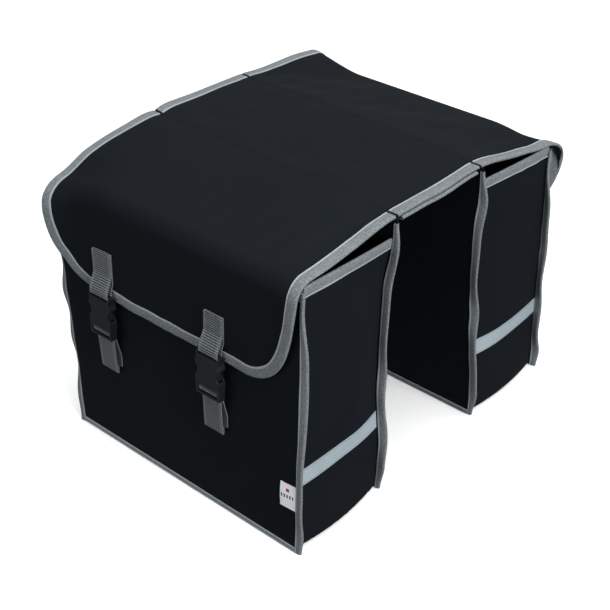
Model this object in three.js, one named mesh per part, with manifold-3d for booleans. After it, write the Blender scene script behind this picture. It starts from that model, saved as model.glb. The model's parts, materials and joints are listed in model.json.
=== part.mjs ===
// A double pannier bag for a bicycle: two open-topped fabric bags joined by a yoke that lies over the luggage rack.
// Each bag has a flap that folds down over its outer face and is held by two side-release buckles on webbing straps.
// Units are millimetres. +X points to the rear of the bike, +Y to its right and +Z up.
// The origin lies on the ground, midway between the two bags.

import * as THREE from "three";
import { mergeVertices } from "three/addons/utils/BufferGeometryUtils.js";
import Module from "manifold-3d";

const wasm = await Module();
wasm.setup();

// ---------------------------------------------------------------- driving dimensions

const BAG_LENGTH = 340; // along the bike, over the two end panels
const BAG_DEPTH = 134; // across the bike, over the inner and outer panels
const YOKE_WIDTH = 138; // between the two seams that the bags swing on
const YOKE_HEIGHT = 340; // from the ground to the top of the yoke
const MOUTH_HEIGHT = 310; // from the ground to the top of the outer and end panels
const SPLAY = 15; // how much further out each bag stands at its foot than at its swing seam

const FABRIC = 1.2; // coated polyester with its foam backing
const SEAM_CLEARANCE = 2.2; // from the swing seam to the inner panel
const CLEARANCE = 0.3; // between pieces that lie on each other
const FIN = 10; // seam allowance that stands out past the end panels
const BOARD = 2; // polyethylene stiffener
const BOARD_MARGIN = 6; // from a stiffener's edge to the seams round it

const TAPE = 0.9; // thickness of the binding tape
const TAPE_WIDTH = 11; // what shows of the tape on each face of an edge
const FOOT_TAPE = 7; // height of the tape along the bottom seams
const FIN_TAPE_START = 2; // from an end panel's face to the tape on the fin
const INNER_TAPE_DROP = 3; // from the inner panel's top to the top of its tape

const FLAP = 1.6; // thickness of the flap
const FLAP_START = 0.5; // from the swing seam to the flap's edge
const FLAP_STAND_OFF = 3.8; // from the outer panel to the inside of the hanging flap
const FLAP_BEND_RADIUS = 9;
const FLAP_LIFT = 4.2; // from the mouth's edge up to the underside of the bend
const FLAP_BOTTOM = 197; // height of the flap's lower edge
const FLAP_CORNER_WIDTH = 65; // how far the rounded corners reach in along the lower edge
const FLAP_CORNER_HEIGHT = 103; // how far they reach up the sides

const YOKE_LINING_DROP = 2.8; // from the top of the yoke to the top of its lining
const YOKE_LINING_INSET = 13; // from the yoke's end to the lining's end
const YOKE_TAPE_INSET = 1.5; // from the yoke's long edge to the end of its tape

const REFLECTOR_HEIGHT = 20;
const REFLECTOR_BOTTOM = 83;
const REFLECTOR = 0.7;
const REFLECTOR_INSET = 2; // from the seams at its two ends

const LABEL_WIDTH = 20.5;
const LABEL_HEIGHT = 30;
const LABEL_BOTTOM = 55;
const LABEL = 1.2; // a folded tag, two layers
const LABEL_SEAM = -1.5; // from the end panel's face to the seam that holds the tag

const WEBBING_WIDTH = 26;
const WEBBING = 1.3;
const STRAP_PLACES = [-63, 99]; // along the bag, seen from the yoke
const STRAP_RISE = 49; // from the flap's lower edge up to the upper strap's top
const TAIL_LENGTH = 57; // from the buckle's mouth down to the end of the lower strap's tail
const TAIL_HEM = 9; // the folded end of the tail

const BUCKLE_DROP = 32; // from the flap's lower edge down to the joint between socket and clip
const BUCKLE_WIDTH = 33;
const BUCKLE_THICKNESS = 10;
const BUCKLE_GAP = 0.9; // from the flap's tape to the back of the buckle
const SOCKET_BODY = 34; // from the mouth up to the webbing slot
const SOCKET_WALL = 1.8;
const SIDE_WALL = 2.3;
const SOCKET_CAVITY_DEPTH = 25;
const WINDOW = [10, 23]; // where the side windows start and end above the mouth
const SLOT = 3; // webbing slot in the socket
const BAR = 3; // height of the socket's webbing bar
const BAR_DEPTH = 4; // and its depth
const CLIP_LENGTH = 13; // the part of the clip outside the socket
const SHOULDER = [0.3, 3]; // the clip's pieces, measured down from the mouth
const MIDDLE_BAR = [5.4, 8.2];
const BOTTOM_BAR_TOP = 10.8;
const MIDDLE_BAR_DEPTH = 2.5;
const GUIDE_LENGTH = 17;
const PRONG_LENGTH = 21;
const PRONG_GAP = 0.6; // from a prong to the walls of the socket's cavity

// ---------------------------------------------------------------- places worked out from the dimensions

const HALF_LENGTH = BAG_LENGTH / 2;
const INNER_FACE = SEAM_CLEARANCE; // the inner panel's face towards the wheel
const OUTER_FACE = INNER_FACE + BAG_DEPTH; // the outer panel's outer face
const WALL_START = INNER_FACE + FABRIC + CLEARANCE; // the space between the two panels
const WALL_END = OUTER_FACE - FABRIC - CLEARANCE;
const TAPE_REACH = CLEARANCE + TAPE; // how far a tape stands off the face it covers
const HANG = OUTER_FACE + FLAP_STAND_OFF; // inside of the hanging flap
const FLAP_FACE = HANG + FLAP; // its outside
const SEAM_POINT = new THREE.Vector2(FLAP_START, YOKE_HEIGHT - FLAP / 2); // where the flap's middle line starts
const BEND_POINT = new THREE.Vector2(HANG + FLAP / 2, MOUTH_HEIGHT + FLAP_LIFT + FLAP / 2); // where it turns down
const FLAP_SLOPE = (BEND_POINT.y - SEAM_POINT.y) / (BEND_POINT.x - SEAM_POINT.x);
const INNER_PANEL_TOP =
  SEAM_POINT.y +
  FLAP_SLOPE * (INNER_FACE + FABRIC + TAPE_REACH - FLAP_START) -
  (FLAP / 2 + TAPE_REACH) * Math.hypot(1, FLAP_SLOPE) -
  CLEARANCE; // under the flap's tape
const BUCKLE_MOUTH = FLAP_BOTTOM - BUCKLE_DROP;
const LOWER_STRAP_FOOT = BUCKLE_MOUTH - TAIL_LENGTH;
const STRAP_TOP = FLAP_BOTTOM + STRAP_RISE;
const BUCKLE_BACK = FLAP_FACE + TAPE_REACH + BUCKLE_GAP;
const BUCKLE_FRONT = BUCKLE_BACK + BUCKLE_THICKNESS;
const BUCKLE_MIDDLE = (BUCKLE_BACK + BUCKLE_FRONT) / 2;
const LEAN = SPLAY / YOKE_HEIGHT;

// ---------------------------------------------------------------- materials

const material = (color, roughness) => new THREE.MeshStandardMaterial({ color, roughness, metalness: 0 });
const FABRIC_BLACK = material(0x17191c, 0.85);
const LINING_BLACK = material(0x0d0e10, 0.8);
const TAPE_GREY = material(0x767d80, 0.9);
const WEBBING_GREY = material(0x5c6163, 0.95);
const BUCKLE_BLACK = material(0x141517, 0.45);
const REFLECTIVE = material(0xa9b4ba, 0.35);
const BOARD_WHITE = material(0xc9cac6, 0.6);
const LABEL_WHITE = material(0xdfe2e8, 0.8);

// ---------------------------------------------------------------- solids

// A shape drawn in a plane is extruded along the third axis: ALONG_X draws in (y, z), ALONG_Y in (x, z).
const ALONG_X = new THREE.Matrix4().makeBasis(
  new THREE.Vector3(0, 1, 0),
  new THREE.Vector3(0, 0, 1),
  new THREE.Vector3(1, 0, 0),
);
const ALONG_Y = new THREE.Matrix4().makeBasis(
  new THREE.Vector3(1, 0, 0),
  new THREE.Vector3(0, 0, 1),
  new THREE.Vector3(0, -1, 0),
);

function prism(shape, length, plane) {
  const geometry = new THREE.ExtrudeGeometry(shape, { depth: length, bevelEnabled: false, curveSegments: 10 });
  return geometry.translate(0, 0, -length / 2).applyMatrix4(plane);
}

function slab(x0, x1, y0, y1, z0, z1) {
  const geometry = new THREE.BoxGeometry(x1 - x0, y1 - y0, z1 - z0);
  return geometry.translate((x0 + x1) / 2, (y0 + y1) / 2, (z0 + z1) / 2);
}

function solid(geometry) {
  const bare = new THREE.BufferGeometry().setAttribute("position", geometry.getAttribute("position"));
  if (geometry.index) bare.setIndex(geometry.index);
  const merged = mergeVertices(bare, 1e-4);
  return new wasm.Manifold(
    new wasm.Mesh({
      numProp: 3,
      vertProperties: merged.attributes.position.array,
      triVerts: new Uint32Array(merged.index.array),
    }),
  );
}

// Joins the added geometries, then cuts the removed ones away.
function carve(added, removed = []) {
  let whole = solid(added[0]);
  for (const piece of added.slice(1)) whole = whole.add(solid(piece));
  for (const piece of removed) whole = whole.subtract(solid(piece));
  const mesh = whole.getMesh();
  return new THREE.BufferGeometry()
    .setAttribute("position", new THREE.BufferAttribute(new Float32Array(mesh.vertProperties), 3))
    .setIndex(new THREE.BufferAttribute(new Uint32Array(mesh.triVerts), 1));
}

function overlap(a, b) {
  const mesh = solid(a).intersect(solid(b)).getMesh();
  return new THREE.BufferGeometry()
    .setAttribute("position", new THREE.BufferAttribute(new Float32Array(mesh.vertProperties), 3))
    .setIndex(new THREE.BufferAttribute(new Uint32Array(mesh.triVerts), 1));
}

// The corners of a path rounded to a radius, as points.
function roundedPath(corners, radius, steps = 6) {
  const points = [corners[0]];
  for (let i = 1; i < corners.length - 1; i++) {
    const [before, corner, after] = [corners[i - 1], corners[i], corners[i + 1]];
    const back = before.clone().sub(corner).normalize();
    const on = after.clone().sub(corner).normalize();
    const half = Math.acos(THREE.MathUtils.clamp(back.dot(on), -1, 1)) / 2;
    const reach = Math.min(radius / Math.tan(half), before.distanceTo(corner) / 2, after.distanceTo(corner) / 2);
    const curve = new THREE.QuadraticBezierCurve(
      back.multiplyScalar(reach).add(corner),
      corner,
      on.multiplyScalar(reach).add(corner),
    );
    points.push(...curve.getPoints(steps));
  }
  points.push(corners.at(-1));
  return points;
}

// The points of a path moved sideways, to its left.
function offsetPath(points, distance) {
  return points.map((point, i) => {
    const before = points[Math.max(i - 1, 0)];
    const after = points[Math.min(i + 1, points.length - 1)];
    const along = after.clone().sub(before).normalize();
    return new THREE.Vector2(-along.y, along.x).multiplyScalar(distance).add(point);
  });
}

// A strip of even thickness that follows a path.
function ribbon(points, thickness) {
  const outline = [...offsetPath(points, thickness / 2), ...offsetPath(points, -thickness / 2).reverse()];
  return new THREE.Shape(outline);
}

const at = (a, b) => new THREE.Vector2(a, b);

// ---------------------------------------------------------------- the bag's shell
// In a bag's own frame y runs outwards from the swing seam, and both bags are the same.

// A flat panel whose ends are the seam allowances, called fins, that stand past the end panels.
function sidePanel(face, top) {
  return slab(-HALF_LENGTH - FIN, HALF_LENGTH + FIN, face, face + FABRIC, 0, top);
}

function endPanel(end) {
  const [x0, x1] = endWall(end);
  return slab(x0, x1, WALL_START, WALL_END, FABRIC + CLEARANCE, MOUTH_HEIGHT);
}

function basePanel() {
  return slab(-HALF_LENGTH, HALF_LENGTH, WALL_START, WALL_END, 0, FABRIC);
}

function baseBoard() {
  const length = HALF_LENGTH - BOARD_MARGIN;
  const start = WALL_START + BOARD + BOARD_MARGIN;
  const end = WALL_END - BOARD - BOARD_MARGIN;
  return slab(-length, length, start, end, FABRIC + CLEARANCE, FABRIC + CLEARANCE + BOARD);
}

// A stiffener that stands inside a side panel, below the mouth's tape.
function wallBoard(start) {
  const length = HALF_LENGTH - BOARD_MARGIN;
  const top = MOUTH_HEIGHT - TAPE_WIDTH - BOARD_MARGIN;
  return slab(-length, length, start, start + BOARD, BOARD_MARGIN, top);
}

// Tape folded over both fins of a side panel, and along its foot on the side that shows.
function panelBinding(face, top, footSide) {
  const start = HALF_LENGTH + FIN_TAPE_START;
  const end = HALF_LENGTH + FIN + TAPE_REACH;
  const [near, far] = [face - TAPE_REACH, face + FABRIC + TAPE_REACH];
  const lift = 2 * CLEARANCE; // the tape never touches the ground
  const footFace = footSide > 0 ? face + FABRIC + CLEARANCE : near;
  return carve(
    [
      slab(start, end, near, far, lift, top),
      slab(-end, -start, near, far, lift, top),
      slab(-end, end, footFace, footFace + TAPE, lift, FOOT_TAPE),
    ],
    [slab(-end + TAPE, end - TAPE, face - CLEARANCE, face + FABRIC + CLEARANCE, 0, YOKE_HEIGHT)],
  );
}

// The two places along the bag between which an end panel lies.
function endWall(end) {
  return end > 0 ? [HALF_LENGTH - FABRIC, HALF_LENGTH] : [-HALF_LENGTH, FABRIC - HALF_LENGTH];
}

// Tape over the edge of the mouth: the outer panel and both end panels, but not the inner one.
function mouthBinding() {
  const low = MOUTH_HEIGHT - TAPE_WIDTH;
  const start = WALL_START + TAPE_REACH;
  const front = OUTER_FACE - FABRIC;
  const cover = ([x0, x1], y0, y1, reach, bottom) =>
    slab(x0 - reach, x1 + reach, y0 - reach, y1 + reach, bottom, MOUTH_HEIGHT + reach);
  const mouth = [-HALF_LENGTH, HALF_LENGTH];
  const fins = [-HALF_LENGTH - FIN, HALF_LENGTH + FIN];
  return carve(
    [
      cover(endWall(1), start, OUTER_FACE, TAPE_REACH, low),
      cover(endWall(-1), start, OUTER_FACE, TAPE_REACH, low),
      cover(mouth, front, OUTER_FACE, TAPE_REACH, low),
    ],
    [
      cover(endWall(1), 0, WALL_END, CLEARANCE, 0),
      cover(endWall(-1), 0, WALL_END, CLEARANCE, 0),
      cover(fins, front, OUTER_FACE, CLEARANCE, 0),
    ],
  );
}

function reflector(end) {
  const face = end > 0 ? HALF_LENGTH + CLEARANCE : -HALF_LENGTH - CLEARANCE - REFLECTOR;
  return slab(
    face,
    face + REFLECTOR,
    WALL_START + REFLECTOR_INSET,
    WALL_END - REFLECTOR_INSET,
    REFLECTOR_BOTTOM,
    REFLECTOR_BOTTOM + REFLECTOR_HEIGHT,
  );
}

// A folded tag sewn into the seam at one end of the outer panel.
function label(end) {
  const seam = HALF_LENGTH - LABEL_SEAM;
  const [x0, x1] = end > 0 ? [seam - LABEL_WIDTH, seam] : [-seam, LABEL_WIDTH - seam];
  const start = OUTER_FACE + CLEARANCE;
  return slab(x0, x1, start, start + LABEL, LABEL_BOTTOM, LABEL_BOTTOM + LABEL_HEIGHT);
}

// ---------------------------------------------------------------- the flap

// The middle line of the flap: over the mouth, round the bend and down the outer face.
function flapPath(start) {
  const first = at(start, SEAM_POINT.y + FLAP_SLOPE * (start - SEAM_POINT.x));
  return roundedPath([first, BEND_POINT, at(BEND_POINT.x, FLAP_BOTTOM - 5)], FLAP_BEND_RADIUS, 8);
}

// The flap's rounded lower corner, from its side to its lower edge.
function flapCorner() {
  return new THREE.CubicBezierCurve(
    at(HALF_LENGTH, FLAP_BOTTOM + FLAP_CORNER_HEIGHT),
    at(HALF_LENGTH - 5, FLAP_BOTTOM + 0.4 * FLAP_CORNER_HEIGHT),
    at(HALF_LENGTH - 20, FLAP_BOTTOM),
    at(HALF_LENGTH - FLAP_CORNER_WIDTH, FLAP_BOTTOM),
  ).getPoints(12);
}

// How high the upper edge of the flap's tape lies over some distance from the flap's middle.
function tapeHeight(distance) {
  const beyond = flapCorner().filter((point) => point.x >= distance);
  return (beyond.at(-1)?.y ?? FLAP_BOTTOM) + 1.4 * TAPE_WIDTH;
}

// The flap seen from outside: straight sides that curve into the lower edge, drawn inset from its true outline.
function flapOutline(inset) {
  const side = [at(HALF_LENGTH, YOKE_HEIGHT + 20), ...flapCorner()];
  const right = offsetPath(side, -inset);
  right[0].x = HALF_LENGTH - inset;
  const left = right.map((point) => at(-point.x, point.y)).reverse();
  return new THREE.Shape([...right, ...left]);
}

// The part of a bent sheet of some thickness that lies inside the flap's outline.
function flapSheet(thickness, inset, start) {
  const sheet = prism(ribbon(flapPath(start), thickness), BAG_LENGTH + 20, ALONG_X);
  return overlap(sheet, prism(flapOutline(inset), 3 * BAG_DEPTH, ALONG_Y));
}

function flapPanel() {
  return flapSheet(FLAP, 0, FLAP_START);
}

function flapBinding() {
  const start = FLAP_START + 2;
  return carve(
    [flapSheet(FLAP + 2 * TAPE_REACH, -TAPE_REACH, start)],
    [
      flapSheet(FLAP + 2 * CLEARANCE, -CLEARANCE, FLAP_START),
      flapSheet(FLAP + 4 * TAPE_REACH, TAPE_WIDTH, FLAP_START),
    ],
  );
}

// ---------------------------------------------------------------- straps and buckles

// Webbing sewn double to the flap, whose lower end loops round the socket's bar.
function upperStrap(x) {
  const bar = BUCKLE_MOUTH + SOCKET_BODY + SLOT;
  const half = BAR_DEPTH / 2 + CLEARANCE; // half the bar, seen from the end
  const [back, front] = [BUCKLE_MIDDLE - half, BUCKLE_MIDDLE + half];
  const sewn = FLAP_FACE + CLEARANCE;
  const clear = FLAP_FACE + TAPE_REACH + CLEARANCE; // in front of the flap's tape
  const tapeTop = tapeHeight(Math.abs(x) + WEBBING_WIDTH / 2);
  const low = bar - CLEARANCE;
  const shape = new THREE.Shape([
    at(sewn, STRAP_TOP),
    at(sewn, tapeTop + 2),
    at(clear, tapeTop),
    at(back - WEBBING, bar + BAR),
    at(back - WEBBING, low),
    at(back, low - WEBBING),
    at(front, low - WEBBING),
    at(front + WEBBING, low),
    at(front + WEBBING, bar + BAR + 3),
    at(sewn + 2 * WEBBING, tapeTop + 10),
    at(sewn + 2 * WEBBING, STRAP_TOP),
  ]);
  shape.holes.push(
    new THREE.Path([
      at(back, low),
      at(back, bar + BAR + 1),
      at(clear + WEBBING, tapeTop + 1),
      at(clear + WEBBING + 0.4, tapeTop + 3),
      at(front, bar + BAR + 3),
      at(front, low),
    ]),
  );
  return prism(shape, WEBBING_WIDTH, ALONG_X).translate(x, 0, 0);
}

// The hollow half of the buckle: a sleeve with a side window for each prong, and a bar for the webbing.
function socket(x) {
  const half = BUCKLE_WIDTH / 2;
  const bodyTop = BUCKLE_MOUTH + SOCKET_BODY;
  const top = bodyTop + SLOT + BAR;
  const cavity = half - SIDE_WALL;
  const slot = WEBBING_WIDTH / 2 + 0.5;
  const [back, front] = [BUCKLE_BACK + SOCKET_WALL, BUCKLE_FRONT - SOCKET_WALL]; // of the cavity
  const [barBack, barFront] = [BUCKLE_MIDDLE - BAR_DEPTH / 2, BUCKLE_MIDDLE + BAR_DEPTH / 2];
  const [windowLow, windowHigh] = WINDOW.map((height) => BUCKLE_MOUTH + height);
  // A round notch in a side edge, centred a little outside it.
  const notch = (side, radius, outside, height) =>
    new THREE.CylinderGeometry(radius, radius, 3 * BUCKLE_THICKNESS, 32)
      .translate(side * (half + outside), BUCKLE_MIDDLE, height);
  return carve(
    [slab(-half, half, BUCKLE_BACK, BUCKLE_FRONT, BUCKLE_MOUTH, top)],
    [
      slab(-cavity, cavity, back, front, BUCKLE_MOUTH - 1, BUCKLE_MOUTH + SOCKET_CAVITY_DEPTH),
      slab(-half - 1, half + 1, back, front, windowLow, windowHigh),
      ...[1, -1].flatMap((side) => [
        notch(side, 9, 5.5, (windowLow + windowHigh) / 2),
        notch(side, 12, 10.5, bodyTop - 2),
      ]),
      slab(-slot, slot, BUCKLE_BACK - 1, BUCKLE_FRONT + 1, bodyTop, bodyTop + SLOT),
      slab(-half - 1, half + 1, BUCKLE_BACK - 1, barBack, bodyTop + SLOT, top + 1),
      slab(-half - 1, half + 1, barFront, BUCKLE_FRONT + 1, bodyTop + SLOT, top + 1),
    ],
  ).translate(x, 0, 0);
}

// The solid half of the buckle: a ladder that the lower webbing threads through, and a guide post.
function clip(x) {
  const half = BUCKLE_WIDTH / 2;
  const rail = WEBBING_WIDTH / 2 + 0.4; // inside of the two side rails
  const [back, front] = [BUCKLE_BACK + 0.5, BUCKLE_FRONT - 0.5];
  const [barBack, barFront] = [BUCKLE_MIDDLE - MIDDLE_BAR_DEPTH / 2, BUCKLE_MIDDLE + MIDDLE_BAR_DEPTH / 2];
  const down = (depth) => BUCKLE_MOUTH - depth;
  return carve(
    [
      slab(-half, half, back, front, down(CLIP_LENGTH), down(SHOULDER[0])),
      slab(-4, 4, BUCKLE_MIDDLE - 2, BUCKLE_MIDDLE + 2, down(SHOULDER[1]), BUCKLE_MOUTH + GUIDE_LENGTH),
    ],
    [
      slab(-rail, rail, back - 1, front + 1, down(MIDDLE_BAR[0]), down(SHOULDER[1])),
      slab(-rail, rail, back - 1, front + 1, down(BOTTOM_BAR_TOP), down(MIDDLE_BAR[1])),
      slab(-rail, rail, back - 1, barBack, down(CLIP_LENGTH + 1), down(SHOULDER[1])),
      slab(-rail, rail, barFront, front + 1, down(BOTTOM_BAR_TOP), down(SHOULDER[1])),
    ],
  ).translate(x, 0, 0);
}

// A springy arm of the clip, with the wing at its tip that shows in the socket's window.
function prong(x, sign) {
  const foot = BUCKLE_MOUTH + 0.2;
  const tip = BUCKLE_MOUTH + PRONG_LENGTH;
  const wing = BUCKLE_WIDTH / 2 - SIDE_WALL - PRONG_GAP; // inside the cavity's side wall
  const side = [
    at(7.6, foot),
    at(11, foot),
    at(11.6, foot + 8),
    at(wing, foot + 11),
    at(wing, tip - 5),
    at(wing - 2, tip),
    at(10.2, tip),
    at(9.4, tip - 8),
    at(7.6, foot + 6),
  ];
  const outline = sign > 0 ? side : side.map((p) => at(-p.x, p.y)).reverse();
  const thickness = BUCKLE_THICKNESS - 2 * SOCKET_WALL - 2 * PRONG_GAP;
  return prism(new THREE.Shape(outline), thickness, ALONG_Y).translate(x, BUCKLE_MIDDLE, 0);
}

// Webbing sewn to the outer panel. It rises behind the clip, goes over the middle bar and hangs down as a tail,
// whose end is folded over and sewn.
function lowerStrap(x) {
  const panel = OUTER_FACE + CLEARANCE + WEBBING / 2;
  const down = (depth) => BUCKLE_MOUTH - depth;
  const lap = WEBBING / 2 + CLEARANCE; // from a bar's face to the webbing's middle line
  const behind = BUCKLE_MIDDLE - MIDDLE_BAR_DEPTH / 2 - lap;
  const before = BUCKLE_MIDDLE + MIDDLE_BAR_DEPTH / 2 + lap;
  const over = down(MIDDLE_BAR[0]) + lap;
  const under = down(MIDDLE_BAR[1]) - lap;
  const path = roundedPath(
    [
      at(panel, LOWER_STRAP_FOOT + 2),
      at(panel, LOWER_STRAP_FOOT + 16),
      at(behind - 3, down(CLIP_LENGTH + 2)),
      at(behind - 2.2, under),
      at(behind - 0.2, over),
      at(before, over),
      at(before, under),
      at(behind, under - 0.4),
      at(behind, down(CLIP_LENGTH + 2)),
      at(behind + 1, down(CLIP_LENGTH + 10)),
      at(behind, LOWER_STRAP_FOOT),
    ],
    1,
    4,
  );
  const hem = behind + WEBBING / 2;
  return carve([
    prism(ribbon(path, WEBBING), WEBBING_WIDTH, ALONG_X),
    slab(
      -WEBBING_WIDTH / 2,
      WEBBING_WIDTH / 2,
      hem - WEBBING,
      hem + WEBBING,
      LOWER_STRAP_FOOT,
      LOWER_STRAP_FOOT + TAIL_HEM,
    ),
  ]).translate(x, 0, 0);
}

// ---------------------------------------------------------------- assembly

function piece(name, geometry, look) {
  const mesh = new THREE.Mesh(geometry, look);
  mesh.name = name;
  return mesh;
}

// The fabric walls lean outwards towards the foot, while the base stays level.
const SPLAYED = new THREE.Matrix4().set(1, 0, 0, 0, 0, 1, -LEAN, LEAN * YOKE_HEIGHT, 0, 0, 1, 0, 0, 0, 0, 1);

// A buckle and its webbing turn with the wall behind them and keep their shape.
function turned(geometry) {
  return geometry
    .translate(0, -BUCKLE_MIDDLE, -BUCKLE_MOUTH)
    .rotateX(Math.atan(LEAN))
    .translate(0, BUCKLE_MIDDLE + LEAN * (YOKE_HEIGHT - BUCKLE_MOUTH), BUCKLE_MOUTH);
}

// One bag with its flap and buckles. rear is the end of the bag, in its own frame, that faces the bike's rear.
function bag(side, rear) {
  const group = new THREE.Group();
  const add = (name, geometry, look) =>
    group.add(piece(`${side}_${name}`, geometry.applyMatrix4(SPLAYED), look));
  const fit = (name, geometry, look) => group.add(piece(`${side}_${name}`, turned(geometry), look));
  const endName = (sign) => (sign === rear ? "rear" : "front");

  add("outer_panel", sidePanel(OUTER_FACE - FABRIC, MOUTH_HEIGHT), FABRIC_BLACK);
  add("inner_panel", sidePanel(INNER_FACE, INNER_PANEL_TOP), FABRIC_BLACK);
  add("base_panel", basePanel(), FABRIC_BLACK);
  add("base_board", baseBoard(), BOARD_WHITE);
  add("inner_board", wallBoard(WALL_START), BOARD_WHITE);
  add("outer_board", wallBoard(OUTER_FACE - FABRIC - CLEARANCE - BOARD), BOARD_WHITE);
  add("outer_binding", panelBinding(OUTER_FACE - FABRIC, MOUTH_HEIGHT, 1), TAPE_GREY);
  add("inner_binding", panelBinding(INNER_FACE, INNER_PANEL_TOP - INNER_TAPE_DROP, -1), TAPE_GREY);
  add("mouth_binding", mouthBinding(), TAPE_GREY);
  for (const end of [1, -1]) {
    add(`${endName(end)}_end_panel`, endPanel(end), FABRIC_BLACK);
    add(`${endName(end)}_reflector`, reflector(end), REFLECTIVE);
  }
  add("flap", flapPanel(), FABRIC_BLACK);
  add("flap_binding", flapBinding(), TAPE_GREY);

  STRAP_PLACES.forEach((x) => {
    const place = endName(Math.sign(x));
    fit(`${place}_upper_strap`, upperStrap(x), WEBBING_GREY);
    fit(`${place}_socket`, socket(x), BUCKLE_BLACK);
    fit(`${place}_clip`, clip(x), BUCKLE_BLACK);
    fit(`${place}_prong_a`, prong(x, 1), BUCKLE_BLACK);
    fit(`${place}_prong_b`, prong(x, -1), BUCKLE_BLACK);
    fit(`${place}_lower_strap`, lowerStrap(x), WEBBING_GREY);
  });
  return group;
}

// Tape folded over one end of the yoke, a little shorter than the yoke is wide.
function yokeBinding(end, half) {
  const [x0, x1] = end > 0 ? [HALF_LENGTH - TAPE_WIDTH, HALF_LENGTH] : [-HALF_LENGTH, TAPE_WIDTH - HALF_LENGTH];
  const [low, high] = [YOKE_HEIGHT - FABRIC, YOKE_HEIGHT];
  return carve(
    [slab(x0 - (end < 0) * TAPE_REACH, x1 + (end > 0) * TAPE_REACH, -half, half, low - TAPE_REACH, high + TAPE_REACH)],
    [
      slab(
        -HALF_LENGTH - CLEARANCE,
        HALF_LENGTH + CLEARANCE,
        -YOKE_WIDTH / 2,
        YOKE_WIDTH / 2,
        low - CLEARANCE,
        high + CLEARANCE,
      ),
    ],
  );
}

// The yoke rests on the rack with its lining, and the two bags hang from its long edges.
function yoke() {
  const group = new THREE.Group();
  const half = YOKE_WIDTH / 2 - FLAP_START;
  const tapeHalf = half - YOKE_TAPE_INSET;
  const liningHalf = half - 2 * YOKE_TAPE_INSET;
  const lining = YOKE_HEIGHT - YOKE_LINING_DROP;
  const inner = HALF_LENGTH - YOKE_LINING_INSET;
  group.add(
    piece("yoke_panel", slab(-HALF_LENGTH, HALF_LENGTH, -half, half, YOKE_HEIGHT - FABRIC, YOKE_HEIGHT), FABRIC_BLACK),
    piece("yoke_lining", slab(-inner, inner, -liningHalf, liningHalf, lining - FABRIC, lining), LINING_BLACK),
    piece("yoke_rear_binding", yokeBinding(1, tapeHalf), TAPE_GREY),
    piece("yoke_front_binding", yokeBinding(-1, tapeHalf), TAPE_GREY),
  );
  return group;
}

const pannier = new THREE.Group();

const rightBag = bag("right", 1);
rightBag.position.y = YOKE_WIDTH / 2;

const leftBag = bag("left", -1);
leftBag.add(piece("left_label", label(-1).applyMatrix4(SPLAYED), LABEL_WHITE));
leftBag.rotation.z = Math.PI;
leftBag.position.y = -YOKE_WIDTH / 2;

pannier.add(yoke(), leftBag, rightBag);

export default pannier;
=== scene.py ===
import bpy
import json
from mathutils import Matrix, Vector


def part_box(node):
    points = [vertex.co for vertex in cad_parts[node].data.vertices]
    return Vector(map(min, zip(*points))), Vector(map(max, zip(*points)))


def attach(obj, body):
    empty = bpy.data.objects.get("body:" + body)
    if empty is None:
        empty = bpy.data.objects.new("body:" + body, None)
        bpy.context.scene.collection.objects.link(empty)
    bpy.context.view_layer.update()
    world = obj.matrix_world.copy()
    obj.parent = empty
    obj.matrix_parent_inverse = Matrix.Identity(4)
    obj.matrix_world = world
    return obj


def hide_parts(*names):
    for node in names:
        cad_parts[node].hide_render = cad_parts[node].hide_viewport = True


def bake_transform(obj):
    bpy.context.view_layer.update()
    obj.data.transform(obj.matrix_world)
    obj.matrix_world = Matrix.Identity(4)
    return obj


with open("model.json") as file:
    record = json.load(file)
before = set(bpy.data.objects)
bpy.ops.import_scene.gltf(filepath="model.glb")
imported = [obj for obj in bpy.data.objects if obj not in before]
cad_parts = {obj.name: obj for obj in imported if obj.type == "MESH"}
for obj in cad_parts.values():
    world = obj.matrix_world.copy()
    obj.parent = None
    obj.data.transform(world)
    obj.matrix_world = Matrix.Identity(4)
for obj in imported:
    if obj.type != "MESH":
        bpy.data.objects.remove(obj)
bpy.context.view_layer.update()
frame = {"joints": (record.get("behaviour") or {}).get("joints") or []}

import json
import math
from functools import partial

import bmesh
import bpy
import numpy as np
from mathutils import Vector

# ----------------------------------------------------------------------------------------------------------
# Studio. The bag stands on a white floor under one large overhead softbox, with another one at the rear end
# and a weaker one at the left side. The floor adds no light of its own to the black cloth.

scene = bpy.context.scene
scene.view_settings.view_transform = "Standard"
CAMERA_AT = Vector((0.824, -0.941, 0.946))
CAMERA_AIM = Vector((0.0326, -0.0471, 0.160))
LENS_MM = 76.1
LIGHT_AIM = Vector((0, 0, 0.2))
FLOOR_REACH = 9


def add_object(name, data):
    made = bpy.data.objects.new(name, data)
    scene.collection.objects.link(made)
    return made


def aim(thing, place, target):
    """Puts a camera or a light at a place and turns it to a target."""
    thing.location = place
    thing.rotation_euler = (target - Vector(place)).to_track_quat("-Z", "Y").to_euler()


def softbox(name, place, size, watts):
    light = add_object(name, bpy.data.lights.new(name, "AREA"))
    light.data.shape = "RECTANGLE"
    light.data.size, light.data.size_y = size
    light.data.energy = watts
    aim(light, place, LIGHT_AIM)


camera = add_object("camera", bpy.data.cameras.new("camera"))
camera.data.lens = LENS_MM
camera.data.clip_end = 50
aim(camera, CAMERA_AT, CAMERA_AIM)
scene.camera = camera
softbox("overhead_light", (0.15, 0.15, 2.4), (2.6, 2.2), 80)
softbox("rear_light", (2.3, -0.35, 1.0), (1.6, 1.4), 78)
softbox("side_light", (-0.5, -2.4, 1.1), (1.8, 1.4), 26)

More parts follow.
